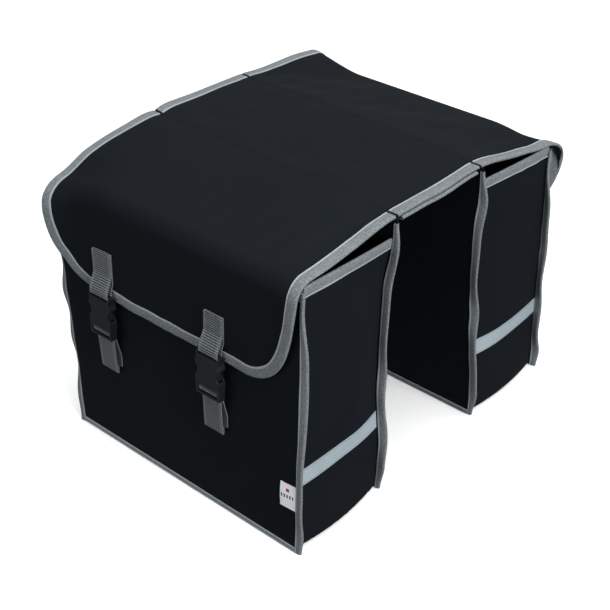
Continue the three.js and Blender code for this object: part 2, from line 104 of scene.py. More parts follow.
scene.world = bpy.data.worlds.new("room")
scene.world.use_nodes = True
room = scene.world.node_tree
fill = room.nodes["Background"]
fill.inputs["Color"].default_value = (0.93, 0.97, 1, 1)
fill.inputs["Strength"].default_value = 0.16
backdrop = room.nodes.new("ShaderNodeBackground")  # what the camera sees past the floor
backdrop.inputs["Color"].default_value = (1, 1, 1, 1)
rays = room.nodes.new("ShaderNodeLightPath")
seen = room.nodes.new("ShaderNodeMixShader")
room.links.new(rays.outputs["Is Camera Ray"], seen.inputs[0])
room.links.new(fill.outputs[0], seen.inputs[1])
room.links.new(backdrop.outputs[0], seen.inputs[2])
room.links.new(seen.outputs[0], room.nodes["World Output"].inputs["Surface"])

floor_mesh = bpy.data.meshes.new("floor")
floor_corners = [(x * FLOOR_REACH, y * FLOOR_REACH, 0) for x, y in ((-1, -1), (1, -1), (1, 1), (-1, 1))]
floor_mesh.from_pydata(floor_corners, [], [(0, 1, 2, 3)])
floor = add_object("floor", floor_mesh)
floor.visible_diffuse = False
floor.visible_glossy = False
paint = bpy.data.materials.new("floor_white")
paint.use_nodes = True
for plug, value in (("Base Color", (0.93, 0.93, 0.93, 1)), ("Roughness", 1), ("Specular IOR Level", 0),
                    ("Emission Color", (1, 1, 1, 1)), ("Emission Strength", 0.14)):
    paint.node_tree.nodes["Principled BSDF"].inputs[plug].default_value = value
floor_mesh.materials.append(paint)

# ----------------------------------------------------------------------------------------------------------
# Black pannier cloth: a coated polyester in plain weave with about ten threads to the centimetre, matt,
# with a faint sheen. The same wrapper round a node's output writes this material and all the others.


def add_node(tree, kind, settings=None, output=None, **inputs):
    """Adds a node, sets it, feeds its sockets and returns one of its outputs, the first if none is named. An input
    goes by its name or by its number, as in i0."""
    made = tree.nodes.new(kind)
    for name, value in (settings or {}).items():
        setattr(made, name, value)
    for name, value in inputs.items():
        socket = made.inputs[int(name[1:])] if name[1:].isdigit() else made.inputs[name.replace("_", " ")]
        if isinstance(value, Socket):
            tree.links.new(value.output, socket)
        else:
            socket.default_value = value
    return Socket(made.outputs[output] if output else next(shown for shown in made.outputs if shown.enabled))


class Socket:
    """A node's output that can be used in a Python expression."""

    def __init__(self, output):
        self.output = output

    def node(self, kind, settings=None, **inputs):
        return add_node(self.output.id_data, kind, settings, **inputs)

    def math(self, operation, *others):
        inputs = {f"i{number}": value for number, value in enumerate((self, *others))}
        return self.node("ShaderNodeMath", {"operation": operation}, **inputs)

    def __add__(self, other):
        return self.math("ADD", other)

    def __sub__(self, other):
        return self.math("SUBTRACT", other)

    def __rsub__(self, other):
        return self.math("MULTIPLY_ADD", -1, other)

    def __mul__(self, other):
        return self.math("MULTIPLY", other)

    __radd__, __rmul__ = __add__, __mul__

    def wave(self, pitch):
        """A sine wave of this pitch, from -1 to 1."""
        return (self * (2 * math.pi / pitch)).math("SINE")

    def noise(self, scale, detail=2.0, roughness=0.5):
        """Noise over a place, with about this many lumps to the metre."""
        return self.node("ShaderNodeTexNoise", Vector=self, Scale=scale, Detail=detail, Roughness=roughness)

    def between(self, low, high):
        """0 at low, 1 at high, smooth between them."""
        return self.node("ShaderNodeMapRange", {"interpolation_type": "SMOOTHSTEP"}, i0=self, i1=low, i2=high)

    def mix(self, low, high):
        """A colour, low where this is 0 and high where it is 1."""
        return self.node("ShaderNodeMix", {"data_type": "RGBA"}, i0=self, i6=low, i7=high)


def finish_of(name, roughness, specular, sheen=0.0, sheen_roughness=0.5):
    """A new material and its Principled shader."""
    material = bpy.data.materials.new(name)
    material.use_nodes = True
    shader = material.node_tree.nodes["Principled BSDF"]
    shader.inputs["Roughness"].default_value = roughness
    shader.inputs["Specular IOR Level"].default_value = specular
    shader.inputs["Sheen Weight"].default_value = sheen
    shader.inputs["Sheen Roughness"].default_value = sheen_roughness
    return material, shader


def feed(shader, color=None, roughness=None, height=None, depth=0.0002, strength=1.0):
    """Links what varies over the surface: its colour, its roughness and its relief, which is depth metres high."""
    normal = height and height.node("ShaderNodeBump", Height=height, Distance=depth, Strength=strength)
    for plug, varying in (("Base Color", color), ("Roughness", roughness), ("Normal", normal)):
        if varying is not None:
            shader.id_data.links.new(varying.output, shader.inputs[plug])


def flat_pattern(shader):
    """Where a point lies on the flat pattern of its piece, in metres: as one socket, then along and across it."""
    flat = add_node(shader.id_data, "ShaderNodeUVMap", {"uv_map": "cloth"})
    return flat, *(flat.node("ShaderNodeSeparateXYZ", output=axis, Vector=flat) for axis in "XY")


def weave(shader, pitch):
    """The flat pattern, and a plain weave over it: 1 on top of a thread, 0 between two."""
    flat, u, v = flat_pattern(shader)
    return flat, u.wave(2 * pitch).math("ABSOLUTE") * 0.5 + v.wave(2 * pitch).math("ABSOLUTE") * 0.5


CLOTH_THREAD = 0.0010  # pitch of the weave
CLOTH_DARK = (0.0015, 0.0021, 0.0031, 1)
CLOTH_LIGHT = (0.0040, 0.0054, 0.0076, 1)
cloth, cloth_shader = finish_of("black_cloth", 0.75, 0.1, 0.02, 0.35)
cloth_shader.inputs["Specular Tint"].default_value = (0.8, 0.94, 1, 1)
flat, threads = weave(cloth_shader, CLOTH_THREAD)
patches = flat.noise(9.0, 3.0, 0.55)
slubs = flat.noise(420.0, 2.0, 0.6)
dust = flat.noise(60.0, 5.0, 0.7).between(0.62, 0.78)
shade = threads * 0.55 + patches * 0.35 + slubs * 0.25 + dust * 0.12
feed(cloth_shader, shade.mix(CLOTH_DARK, CLOTH_LIGHT), 0.62 + patches * 0.2, threads + slubs * 0.5, 0.00022, 0.55)

# ----------------------------------------------------------------------------------------------------------
# How the cloth hangs. Each bag is worked out as if it were the right one, with y running outwards from the
# seam that it hangs on, and is then turned into place. Seams are shared lines, so panels, tapes and boards
# stay together.

MM = 0.001
right_hinge = next(joint for joint in frame["joints"] if joint["name"] == "right_bag_swing")
_, SEAM_Y, TOP = right_hinge["pos_m"]
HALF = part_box("right_rear_end_panel")[1].x  # the outer face of an end panel
FIN_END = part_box("right_outer_panel")[1].x
FIN = FIN_END - HALF  # how far the seam allowances stand out past the end panels
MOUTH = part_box("right_outer_panel")[1].z
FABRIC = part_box("right_base_panel")[1].z
mouth_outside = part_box("right_outer_panel")[0].y + FABRIC - SEAM_Y
foot_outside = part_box("right_outer_panel")[1].y - SEAM_Y
LEAN = (foot_outside - mouth_outside) / MOUTH
OUTER = foot_outside - TOP * LEAN - FABRIC / 2  # middle of the outer panel, before it leans
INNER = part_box("right_inner_panel")[1].y - SEAM_Y - TOP * LEAN - FABRIC / 2
INNER_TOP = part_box("right_inner_panel")[1].z
SIDES = {"left": -1, "right": 1}
STRAPS = {"left_rear": -63 * MM, "left_front": 99 * MM, "right_front": -63 * MM, "right_rear": 99 * MM}

# The shape of each bag's two ends: how far the upper corner has sunk (below zero) or risen, how far the end
# leans out at the top, how far the seam allowances turn outwards (in radians), how far the mouth rises at
# the inner panel, and how far the flap's corner flares.
SUNK = {"left": {"front": -14 * MM, "rear": 3 * MM}, "right": {"front": 11 * MM, "rear": -7 * MM}}
END_LEAN = {"left": {"front": 15 * MM, "rear": -1.0 * MM}, "right": {"front": 3 * MM, "rear": 1 * MM}}
FIN_CURL = {"left": {"front": -0.45, "rear": 0.15}, "right": {"front": 0.0, "rear": -0.35}}
INNER_CURL = {"left": {"front": 0.2, "rear": 0.1}, "right": {"front": -0.2, "rear": -0.1}}
MOUTH_RISE = {"left": {"front": 0, "rear": 4.5 * MM}, "right": {"front": 0, "rear": 8 * MM}}
FLARE = {"left": {"front": 13 * MM, "rear": 3 * MM}, "right": {"front": 4 * MM, "rear": 27 * MM}}

FULLNESS = {"left": 2.5 * MM, "right": 4.5 * MM}  # how far the end panels swell
WAIST = {"left": 9 * MM, "right": 6.5 * MM}  # how far the rear inner corner is drawn in at mid height
FOOT_BULGE = {"left": 5 * MM, "right": 2.5 * MM}  # how far the end panels stand out just above the ground
NEXT_END = 0.4  # shifts a pattern of waves, so that the two ends of a bag differ


def smooth(value):
    value = np.clip(value, 0, 1)
    return value * value * (3 - 2 * value)


def waves(a, b, seed, length, height):
    """A few crossing waves of about one length, for cloth that isn't quite flat."""
    draw = np.random.default_rng(seed)
    total = 0
    for _ in range(5):
        angle, phase = draw.uniform(0, 2 * math.pi, 2)
        turns = 2 * math.pi / (length * draw.uniform(0.7, 1.5))
        total = total + np.sin((a * math.cos(angle) + b * math.sin(angle)) * turns + phase)
    return total * height / 2.2


def rear_edge(x):
    """How far the rear edge of the whole top has settled."""
    return -5.5 * MM * smooth((x - 0.1) / 0.07)


def crumple(x, y):
    """How far the cloth on top is off the plane of the bags' tops, the same for the yoke and both flaps."""
    seam = np.exp(-(((np.abs(y) - SEAM_Y) / (12 * MM)) ** 2))  # the seams hold it down
    creases = (waves(x, y, 5, 0.15, 1.5 * MM) + waves(x * 1.6, y, 8, 0.06, 0.45 * MM)) * (1 - 0.5 * seam)
    groove = -0.8 * MM * seam ** 4
    dip = -1.5 * MM * smooth((np.abs(x) - 0.1) / 0.07) * np.clip(1 - (y / SEAM_Y) ** 2, 0, 1)
    rise = 7 * MM * smooth((-x - 0.06) / 0.11) * np.exp(-(((y + 0.12) / 0.09) ** 2))  # over the front corner
    return creases + groove + dip + rise * (1 - 0.65 * seam)


def place(side, x, y, z):
    """A point of a bag, from its own axes to the frame's, settled as the cloth has."""
    turn = SIDES[side]
    x, y, z = np.broadcast_arrays(x * turn, y + (TOP - z) * LEAN, z)
    share = np.clip(y / (OUTER + 0.003), 0, 1)
    z = z + rear_edge(x) * smooth((z - 0.26) / 0.07) * (1 - 0.8 * share)
    outwards = 0.5 * share + 0.5 * smooth(share)
    high = smooth((z - 0.13) / 0.17)
    lean = 2 * z / MOUTH - 1
    for name, end in (("front", -1), ("rear", 1)):
        z = z + smooth((end * x - 0.095) / (HALF - 0.095)) * outwards * high * SUNK[side][name]
        x = x + end * smooth((end * x - 0.05) / 0.12) * outwards * lean * END_LEAN[side][name]
    drawn = smooth((x - 0.09) / 0.08) * (1 - smooth(share * 2.2))
    drawn = drawn * smooth((z - 0.04) / 0.1) * smooth((0.318 - z) / 0.07)
    x = x - drawn * WAIST[side]
    return np.stack([x, (y + SEAM_Y) * turn, z], axis=-1)


def beside_straps(side, x, reach=0.03):
    """0 at the straps and 1 away from them."""
    free = 1
    for name, middle in STRAPS.items():
        if name.startswith(side):
            free = free * smooth((np.abs(x - middle) - 0.016) / reach)
    return free


def curl_of(table, side, x):
    """The entry of a table of ends for the end that a point of a bag is nearest to."""
    ahead, behind = ("rear", "front") if SIDES[side] > 0 else ("front", "rear")
    return np.where(x > 0, table[side][ahead], table[side][behind])


def outer_panel(side, x, z, out=0.0):
    """The outer panel: x along it, z up it, out from its middle. Past the end panels it is a wavy seam allowance."""
    inside = smooth((HALF - np.abs(x)) / 0.05) * smooth(z / 0.05) * smooth((MOUTH - z) / 0.06)
    z = z - 4 * MM * smooth((HALF - np.abs(x)) / 0.04) * smooth((z - 0.22) / 0.08)  # it sags under the flap's bend
    free = 1 - (1 - beside_straps(side, x)) * smooth((z - 0.06) / 0.03)
    swell = inside * free * waves(x, z, 11 + SIDES[side], 0.15, 1.2 * MM)
    fin = np.maximum(np.abs(x) - HALF, 0)
    tuck = 1 - 0.62 * smooth((z - 0.235) / 0.06)  # the flap presses the allowance in near the mouth
    tuck = tuck * (0.75 + 0.25 * smooth(z / 0.03))
    angle = curl_of(FIN_CURL, side, x) * smooth((z - 0.01) / 0.05) * (fin > 0)
    swell = swell + fin / FIN * waves(x * 0, z + np.sign(x) * NEXT_END, 21 + SIDES[side], 0.08, 2.1 * MM)
    x = np.sign(x) * (np.minimum(np.abs(x), HALF) + fin * tuck * np.cos(angle) - out * np.sin(angle))
    return place(side, x, OUTER + swell + out * np.cos(angle) + fin * tuck * np.sin(angle), z)


def inner_panel(side, x, z, out=0.0):
    """The inner panel, towards the wheel, whose out is away from the bag's inside."""
    inside = smooth((HALF - np.abs(x)) / 0.05) * smooth(z / 0.05) * smooth((INNER_TOP - z) / 0.08)
    swell = inside * waves(x, z, 31 + SIDES[side], 0.2, 0.9 * MM)
    fin = np.maximum(np.abs(x) - HALF, 0) * (1 - 0.6 * smooth((z - INNER_TOP + 0.04) / 0.04))
    fin = fin * (0.45 + 0.55 * smooth(z / 0.035))
    bend = fin / FIN * smooth((INNER_TOP - z) / 0.05)
    swell = swell + bend * waves(x * 0, z + np.sign(x) * NEXT_END, 41 + SIDES[side], 0.09, 2.0 * MM)
    angle = curl_of(INNER_CURL, side, x) * smooth((z - 0.02) / 0.08) * (fin > 0)
    z = z + crumple(x * SIDES[side], SIDES[side] * SEAM_Y) * smooth((z - INNER_TOP + 0.05) / 0.05)
    x = np.sign(x) * (np.minimum(np.abs(x), HALF) + fin * np.cos(angle) - out * np.sin(angle))
    return place(side, x, INNER + swell - out * np.cos(angle) - fin * np.sin(angle), z)


CORNER = 5 * MM  # how round the gusset turns from the ends into the base
GUSSET_RISE = MOUTH - CORNER - FABRIC / 2
GUSSET_RUN = HALF - FABRIC / 2 - CORNER
GUSSET_HALF = GUSSET_RUN + CORNER * math.pi / 2 + GUSSET_RISE  # half the strip's length
GUSSET_WIDTH = OUTER - INNER


def gusset(side, along, across, out=0.0):
    """One strip that makes both ends and the base. along runs from one mouth to the other, 0 at the middle of the
    base; across runs from the inner panel to the outer one."""
    run = np.abs(along)
    turn = np.clip((run - GUSSET_RUN) / CORNER, 0, math.pi / 2)
    rise = np.maximum(run - GUSSET_RUN - CORNER * math.pi / 2, 0)
    part = np.clip(across / GUSSET_WIDTH, 0, 1)
    on_the_end = smooth(turn * 2 / math.pi)
    swell = np.sin(math.pi * part) ** 0.8 * on_the_end * FULLNESS[side]
    swell = swell * (1 - 0.8 * smooth((rise - 0.1) / 0.19))
    swell = swell + np.sin(math.pi * part) * on_the_end * FOOT_BULGE[side] * (1 - smooth(rise / 0.07))
    edges = np.sin(math.pi * part) * smooth(rise / 0.04) * smooth((GUSSET_RISE - rise) / 0.03)
    swell = swell + edges * waves(along, across, 51 + SIDES[side], 0.11, 1.3 * MM)
    x = np.sign(along) * (np.minimum(run, GUSSET_RUN) + np.sin(turn) * (CORNER + out + swell))
    z = FABRIC / 2 + CORNER - np.cos(turn) * (CORNER + out) + rise
    z = z + curl_of(MOUTH_RISE, side, along) * (1 - 0.5 * part) * smooth((rise - 0.2) / 0.09)
    return place(side, x, INNER + across, z)


def up_the_end(z):
    """How far along the gusset a height on an end panel is."""
    return GUSSET_RUN + CORNER * math.pi / 2 + z - CORNER - FABRIC / 2


def faces_between(rows, columns):
    """The faces of a closed sheet made of two grids of points, one on each face of the cloth."""
    count = rows * columns
    number = np.arange(count).reshape(rows, columns)
    top = np.stack([number[:-1, :-1], number[1:, :-1], number[1:, 1:], number[:-1, 1:]], -1).reshape(-1, 4)
    rim = np.concatenate([number[0, :], number[1:, -1], number[-1, -2::-1], number[-2:0:-1, 0]])
    onward = np.roll(rim, -1)
    sides = np.stack([rim, onward, onward + count, rim + count], -1)
    return np.concatenate([top, top[:, ::-1] + count, sides])


def skin(name, material, thickness, *parts):
    """Cloth of some thickness round one or more grids of middle points, each given with its flat pattern. The
    attribute edge is 1 along the first and last columns, where tape and webbing get a painted highlight."""
    vertices, faces, uvs, edges = [], [], [], []
    for middle, flat in parts:
        rows, columns = middle.shape[:2]
        own = faces_between(rows, columns)
        faces.append(own + sum(len(points) for points in vertices))
        uvs.append(flat.reshape(-1, 2)[own % (rows * columns)])
        on_edge = np.zeros((rows, columns))
        on_edge[:, :2] = on_edge[:, -2:] = 1
        normal = np.cross(np.gradient(middle, axis=0), np.gradient(middle, axis=1))
        normal = normal / np.maximum(np.linalg.norm(normal, axis=2, keepdims=True), 1e-12)
        for offset in (thickness / 2, -thickness / 2):
            vertices.append((middle + normal * offset).reshape(-1, 3))
            edges.append(on_edge.ravel())
    mesh = bpy.data.meshes.new(name)
    mesh.from_pydata(np.concatenate(vertices).tolist(), [], np.concatenate(faces).tolist())
    mesh.uv_layers.new(name="cloth").data.foreach_set("uv", np.concatenate(uvs).astype(np.float32).ravel())
    edge = mesh.attributes.new("edge", "FLOAT", "POINT")
    edge.data.foreach_set("value", np.concatenate(edges).astype(np.float32))
    mesh.materials.append(material)
    mesh.shade_smooth()
    mesh.set_sharp_from_angle(angle=math.radians(48))
    return add_object(name, mesh)


def belongs(piece, body, slot, *nodes):
    """A piece that is rigid with one body."""
    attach(piece, body)
    if nodes:
        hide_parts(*nodes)


def bends(piece, first, second, slot, side, reach, *nodes):
    """Cloth that crosses a side's seam, left where it is built with its place baked into its mesh. The parts that
    it replaces are hidden. first, second and reach, measured outwards from the seam, are not used."""
    start, end = ((0, SIDES[side] * (SEAM_Y + away), TOP) for away in reach)
    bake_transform(piece)
    if nodes:
        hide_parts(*nodes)


def spaced(low, high, step):
    """Even places from low to high, about a step apart."""
    return np.linspace(low, high, max(2, int(round((high - low) / step)) + 1))


def sheet_of(surface, first, second, out=0.0):
    """The grid of a surface over two lists of pattern places, with its flat pattern."""
    a, b = np.meshgrid(first, second, indexing="ij")
    return surface(a, b, out), np.stack([a, b], -1)


CLOTH_STEP = 4 * MM
LIFT = 0.7 * MM  # keeps the lower edges off the ground and the gusset off the panels
SEAM_COVER = 2.4 * MM  # how far the inner panels run up into the seam with the yoke
for side in SIDES:
    bag = f"{side}_bag"
    along_x = spaced(-FIN_END, FIN_END, CLOTH_STEP)
    for wall, surface, top in (("outer", outer_panel, MOUTH), ("inner", inner_panel, INNER_TOP + SEAM_COVER)):
        grid = sheet_of(partial(surface, side), along_x, spaced(LIFT, top, CLOTH_STEP))
        panel = skin(f"{side}_{wall}_cloth", cloth, FABRIC, grid)
        belongs(panel, bag, "fabric", f"{side}_{wall}_panel")

    edge = FABRIC / 2 + LIFT
    grid = sheet_of(partial(gusset, side), spaced(-GUSSET_HALF, GUSSET_HALF, 3 * MM),
                    spaced(edge, GUSSET_WIDTH - edge, CLOTH_STEP))
    strip = skin(f"{side}_gusset_cloth", cloth, FABRIC, grid)
    belongs(strip, bag, "fabric", f"{side}_front_end_panel", f"{side}_rear_end_panel", f"{side}_base_panel")

# ----------------------------------------------------------------------------------------------------------
# Stiffeners: 2 mm sheets of grey polyethylene that slip in behind the outer and inner panels and onto the
# base. They follow the cloth.

BOARD = 2 * MM
BOARD_EDGE = 6 * MM  # from the boards' edges to the bag's corners
BOARD_GAP = 0.3 * MM  # between a board and the cloth
BOARD_STEP = 8 * MM
BASE_EDGE = 8.9 * MM  # from the base board's long edges to the middles of the panels
board, board_shader = finish_of("board", 0.5, 0.4)
board_shader.inputs["Base Color"].default_value = (0.045, 0.047, 0.05, 1)
feed(board_shader, height=flat_pattern(board_shader)[0].noise(700.0), depth=0.0001, strength=0.3)
along_x = spaced(BOARD_EDGE - HALF, HALF - BOARD_EDGE, BOARD_STEP)
up_z = spaced(BOARD_EDGE, MOUTH - 17 * MM, BOARD_STEP)
across_y = spaced(INNER + BASE_EDGE, OUTER - BASE_EDGE, BOARD_STEP)
for side in SIDES:
    for wall, surface in (("outer", outer_panel), ("inner", inner_panel)):
        grid = sheet_of(partial(surface, side), along_x, up_z, -(FABRIC + BOARD) / 2 - BOARD_GAP)
        sheet = skin(f"{side}_{wall}_stiffener", board, BOARD, grid)
        belongs(sheet, f"{side}_bag", "board", f"{side}_{wall}_board")
    grid = sheet_of(partial(place, side), along_x, across_y, FABRIC + BOARD_GAP + BOARD / 2)
    sheet = skin(f"{side}_base_stiffener", board, BOARD, grid)
    belongs(sheet, f"{side}_bag", "board", f"{side}_base_board")

# ----------------------------------------------------------------------------------------------------------
# Flaps: one layer of the same cloth, which slopes from the seam to the bend and hangs down the outer panel
# with wide rounded lower corners. The top is a little crumpled, in one pattern that runs on over the yoke.

FLAP = 1.6 * MM  # thickness
SEAM_BEND = (1 * MM, 22 * MM)  # a span outwards from the seam, given with the flaps, their tapes and their stitches
seam_point = np.array([0.5 * MM, TOP - FLAP / 2])
bend_point = np.array([OUTER + 5.2 * MM, MOUTH + 5.0 * MM])
FLAP_BEND = 19 * MM  # radius
FLAP_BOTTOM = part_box("right_flap")[0].z
slope = bend_point - seam_point
slope_length = float(np.hypot(*slope))
slope = slope / slope_length
slope_normal = np.array([-slope[1], slope[0]])
bend_angle = math.acos(-slope[1])
BEND_START = slope_length - FLAP_BEND * math.tan(bend_angle / 2)
BEND_STOP = BEND_START + FLAP_BEND * bend_angle
bend_middle = seam_point + slope * BEND_START - slope_normal * FLAP_BEND
FLAP_LENGTH = BEND_STOP + bend_middle[1] - FLAP_BOTTOM


def flap(side, x, s, out=0.0):
    """A flap: x along it and s down it from its seam."""
    angle = np.clip((s - BEND_START) / FLAP_BEND, 0, bend_angle)
    ny = slope_normal[0] * np.cos(angle) + slope_normal[1] * np.sin(angle)
    nz = slope_normal[1] * np.cos(angle) - slope_normal[0] * np.sin(angle)
    before = np.minimum(s - BEND_START, 0)
    after = np.maximum(s - BEND_STOP, 0)
    hang = smooth(after / 0.05)
    swell = hang * beside_straps(side, x) * (0.3 * MM + np.abs(waves(x, s, 61 + SIDES[side], 0.12, 1.0 * MM)))
    y = bend_middle[0] + ny * (FLAP_BEND + out + swell) + slope[0] * before
    for name, end in (("front", -SIDES[side]), ("rear", SIDES[side])):
        corner = smooth((end * x / HALF - 0.76) / 0.24) * smooth((s - BEND_START + 0.015) / 0.055)
        y = y + FLARE[side][name] * corner * (1 - 0.6 * smooth((after - 0.02) / 0.08))
    z = bend_middle[1] + nz * (FLAP_BEND + out + swell) + slope[1] * before - after
    if side == "left":
        z = z + 4 * MM * smooth((x - 0.05) / 0.1) * smooth(after / 0.08)  # its front part hangs less low
    top = 1 - smooth((s - BEND_START + 0.035) / 0.04)
    z = z + top * crumple(x * SIDES[side], (y + SEAM_Y) * SIDES[side])
    return place(side, x, y, z)


def bezier(points, steps):
    t = np.linspace(0, 1, steps)[:, None]
    a, b, c, d = (np.array(point) for point in points)
    return a * (1 - t) ** 3 + 3 * b * t * (1 - t) ** 2 + 3 * c * t * t * (1 - t) + d * t ** 3


def runs_of(points):
    """How far along a line each of its points lies."""
    return np.concatenate([[0], np.cumsum(np.linalg.norm(np.diff(points, axis=0), axis=1))])


def evened(points, step):
    """The same line with its points an even step apart."""
    points = np.array(points)
    runs = runs_of(points)
    at = spaced(0, runs[-1], step)
    return np.stack([np.interp(at, runs, column) for column in points.T], -1)


CORNER_HEIGHT = 103 * MM
EDGE_ZONE = 30 * MM  # along each side edge, with columns of its own
corner_curve = bezier([(HALF, FLAP_LENGTH - CORNER_HEIGHT), (HALF - 5 * MM, FLAP_LENGTH - 0.4 * CORNER_HEIGHT),
                       (HALF - 20 * MM, FLAP_LENGTH), (HALF - 65 * MM, FLAP_LENGTH)], 60)
half_edge = np.concatenate([[(HALF, 2 * MM)], corner_curve, [(0, FLAP_LENGTH)]])
flap_edge = evened(np.concatenate([half_edge, (half_edge * [-1, 1])[-2::-1]]), 2.5 * MM)


def flap_end(x):
    """How far down the flap its lower edge is."""
    return np.interp(np.abs(x), corner_curve[::-1, 0], corner_curve[::-1, 1])


columns_x = HALF - EDGE_ZONE * (1 - np.linspace(0, 1, 14)[1:] ** 2)
columns_x = np.concatenate([spaced(0, HALF - EDGE_ZONE, CLOTH_STEP), columns_x])
columns_x = np.round(np.concatenate([-columns_x[:0:-1], columns_x]), 6)  # whole micrometres
down_part = np.linspace(-0.001, 1, 76)
a, b = np.broadcast_arrays(columns_x[:, None], flap_end(columns_x)[:, None] * down_part[None, :])
for side in SIDES:
    piece = skin(f"{side}_flap_cloth", cloth, FLAP, (flap(side, a, b), np.stack([a, b], -1)))
    bends(piece, f"{side}_bag", f"{side}_flap", "fabric", side, SEAM_BEND, f"{side}_flap")

# ----------------------------------------------------------------------------------------------------------
# Yoke: the cloth that lies over the rack between the two bags, with a smooth black lining under it.

YOKE_EDGE = SEAM_Y - 0.1 * MM
LINING_EDGE = YOKE_EDGE - 3 * MM
LINING_THREAD = 0.0005


def yoke(x, y, out=0.0):
    return np.stack(np.broadcast_arrays(x, y, TOP - FABRIC / 2 + out + crumple(x, y) + rear_edge(x)), -1)


def lining_face(x, y, out=0.0):
    """The lining, which hangs a little lower at its two ends, where it is bound with a tape of its own."""
    return yoke(x, y, out - 2.8 * MM - 1.7 * MM * smooth((np.abs(x) - HALF + 0.03) / 0.02))


along_x = spaced(-HALF, HALF, CLOTH_STEP)
top_cloth = skin("yoke_cloth", cloth, FABRIC, sheet_of(yoke, along_x, spaced(-YOKE_EDGE, YOKE_EDGE, CLOTH_STEP)))
belongs(top_cloth, "yoke", "fabric", "yoke_panel")
2 * YOKE_EDGE

lining, lining_shader = finish_of("lining", 0.55, 0.3)
threads = weave(lining_shader, LINING_THREAD)[1]
feed(lining_shader, threads.mix((0.004, 0.0042, 0.0046, 1), (0.008, 0.0085, 0.009, 1)), None, threads, 0.0001)
grid = sheet_of(lining_face, along_x, spaced(-LINING_EDGE, LINING_EDGE, 5 * MM))
under = skin("yoke_under_lining", lining, FABRIC, grid)
belongs(under, "yoke", "lining", "yoke_lining")
2 * YOKE_EDGE - 6 * MM

# ----------------------------------------------------------------------------------------------------------
# Seams that the bags hang on: the edges of yoke, flap and inner panel, turned in and rolled up under the
# top, so no light shows between yoke and bag.

ROLL = 1.7 * MM  # its outer radius
ROLL_DEPTH = 1.9 * MM  # from the top down to the roll's middle
ROLL_FABRIC = 0.8 * MM
ROLL_BEND = (-1.3 * MM, 1.3 * MM)
for side in SIDES:
    x, turn = np.meshgrid(along_x, np.linspace(0, 1.96 * math.pi, 14), indexing="ij")
    seam_y = SIDES[side] * SEAM_Y
    seam_z = TOP - ROLL_DEPTH + crumple(x, seam_y) + rear_edge(x)
    radius = ROLL - ROLL_FABRIC / 2
    points = np.stack([x, seam_y + np.sin(turn) * radius, seam_z - np.cos(turn) * radius], -1)
    seam_roll = skin(f"{side}_seam_roll", cloth, ROLL_FABRIC, (points, np.stack([x, turn * ROLL], -1)))
    bends(seam_roll, "yoke", f"{side}_bag", "fabric", side, ROLL_BEND)

# ----------------------------------------------------------------------------------------------------------
# Binding tape: grey ribbed polyester tape folded over every raw edge and sewn down with one row of stitches
# near its free edge. Its edge isn't quite straight.


def painted_edge_highlight_of(shader):
    """1 along the two edges of a tape, 0 elsewhere, where tape and webbing get a painted highlight."""
    return add_node(shader.id_data, "ShaderNodeAttribute", {"attribute_name": "edge"}, output="Fac")


tape, tape_shader = finish_of("binding_tape", 0.75, 0.25, 0.1, 0.4)
flat, u, v = flat_pattern(tape_shader)
rib = u.wave(0.0016) * 0.5 + 0.5
wefts = v.wave(0.0008) * 0.5 + 0.5
fibre = flat.noise(900.0)
blotch = flat.noise(40.0, 3.0)
grain = flat.noise(420.0, 3.0, 0.75).between(0.36, 0.66)
# Painted highlight: the edge mask lightens the tape's colour along both its edges, against a darker middle.
shade = rib * 0.2 + wefts * 0.08 + fibre * 0.12 + blotch * 0.18 + grain * 0.3 + painted_edge_highlight_of(tape_shader) * 0.8
feed(tape_shader, shade.mix((0.018, 0.023, 0.026, 1), (0.265, 0.295, 0.31, 1)), None,
     rib + wefts * 0.4 + grain * 0.6, 0.00022, 0.8)
TAPE = 0.9 * MM  # thickness
TAPE_WIDTH = 11 * MM
TAPE_GAP = 0.3 * MM  # between tape and cloth
STITCH_ROW = 2.3 * MM  # from the tape's free edge
SINK = 0.22 * MM  # how far the stitches pull the tape down
seam_lines = {}  # every row of stitches, by the body that it rides on


def stitch_line(body, points):
    seam_lines.setdefault(body, []).append(points)


def folded(surface, edge, thickness, width, seed, body):
    """Tape folded over an edge and sewn. edge is a line on the surface's pattern, walked with the cloth on its
    left."""
    ahead = np.gradient(edge, axis=0)
    ahead = ahead / np.linalg.norm(ahead, axis=1, keepdims=True)
    inwards = np.stack([-ahead[:, 1], ahead[:, 0]], -1)
    runs = runs_of(edge)
    high = thickness / 2 + TAPE_GAP + TAPE / 2
    start_in = high - TAPE / 2 - TAPE_GAP / 2 - TAPE_GAP
    flank = [(width, high - 0.12 * MM), (width - 0.9 * MM, high), (width - STITCH_ROW, high - SINK),
             (width - STITCH_ROW - 1.2 * MM, high), ((width + start_in) / 2, high + 0.03 * MM)]
    arc = [(start_in - math.sin(t) * high, math.cos(t) * high) for t in np.linspace(0, math.pi, 9)]
    profile = np.array(flank + arc + [(inside, -out) for inside, out in flank[::-1]])
    wobble = waves(runs, 0 * runs, seed, 0.035, 0.3 * MM)[:, None] * (profile[:, 0] > width - 1.5 * MM)[None, :]
    depth = profile[:, 0][None, :] + wobble
    a = edge[:, :1] + inwards[:, :1] * depth
    b = edge[:, 1:] + inwards[:, 1:] * depth
    out = np.broadcast_to(profile[:, 1][None, :], a.shape)
    flat_tape = np.stack(np.broadcast_arrays(runs[:, None], runs_of(profile)[None, :]), -1)
    at = edge + inwards * (width - STITCH_ROW)
    for sign in (1, -1):
        stitch_line(body, surface(at[:, 0], at[:, 1], np.full(len(at), sign * (high - SINK + TAPE / 2))))
    return surface(a, b, out), flat_tape


def straight(first, second):
    return evened([first, second], 2.5 * MM)


